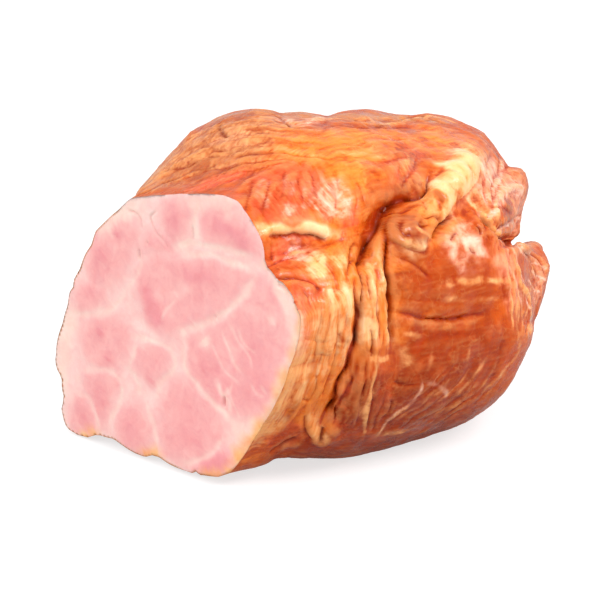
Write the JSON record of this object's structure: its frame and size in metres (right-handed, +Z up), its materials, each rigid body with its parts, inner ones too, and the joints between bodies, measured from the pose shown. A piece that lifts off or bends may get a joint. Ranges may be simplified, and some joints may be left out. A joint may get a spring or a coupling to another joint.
{
  "type": "smoked pork collar",
  "caption": "Boneless smoked pork collar with one end cut square, showing pink marbled meat, and a folded brown smoked surface, lying on its flattened underside.",
  "frame": {"origin": "under the middle of the body's box, on the surface it lies on", "axes": "+Z up, -Y out of the cut face, +Y along the body towards the rounded far end, +X to the right when the cut is seen from the front"},
  "size_m": [0.1482, 0.17, 0.1223],
  "materials": {
    "smoked_meat": null
  },
  "bodies": {
    "root": {"pork_collar": "smoked_meat"}
  },
  "joints": []
}
